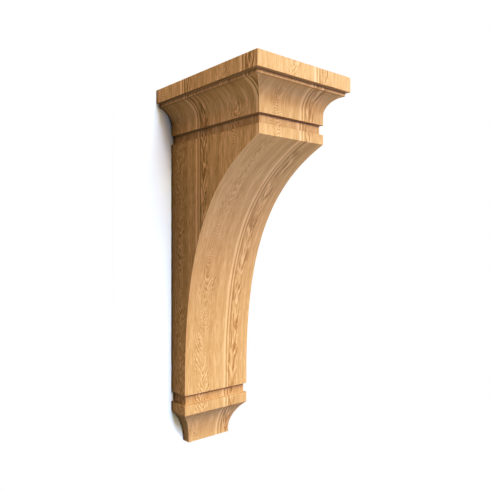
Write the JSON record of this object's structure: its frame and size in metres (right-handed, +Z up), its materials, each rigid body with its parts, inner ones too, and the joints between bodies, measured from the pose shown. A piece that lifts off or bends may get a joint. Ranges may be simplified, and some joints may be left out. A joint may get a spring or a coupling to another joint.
{
  "type": "corbel bracket",
  "caption": "Carved wooden corbel bracket: overhanging cap, coved neck, grooved band, long hollow sweep and a small coved foot, with a flat back for a wall.",
  "frame": {"origin": "middle of the flat back face, half way up, where the corbel meets the wall", "axes": "+Z up along the height, +Y into the wall, +X across the width; the carved front looks along -Y"},
  "size_m": [0.1646, 0.2161, 0.508],
  "materials": {
    "oak": "planed and sanded pale oak under a thin clear satin coat"
  },
  "bodies": {
    "root": {"corbel": "oak"}
  },
  "joints": []
}
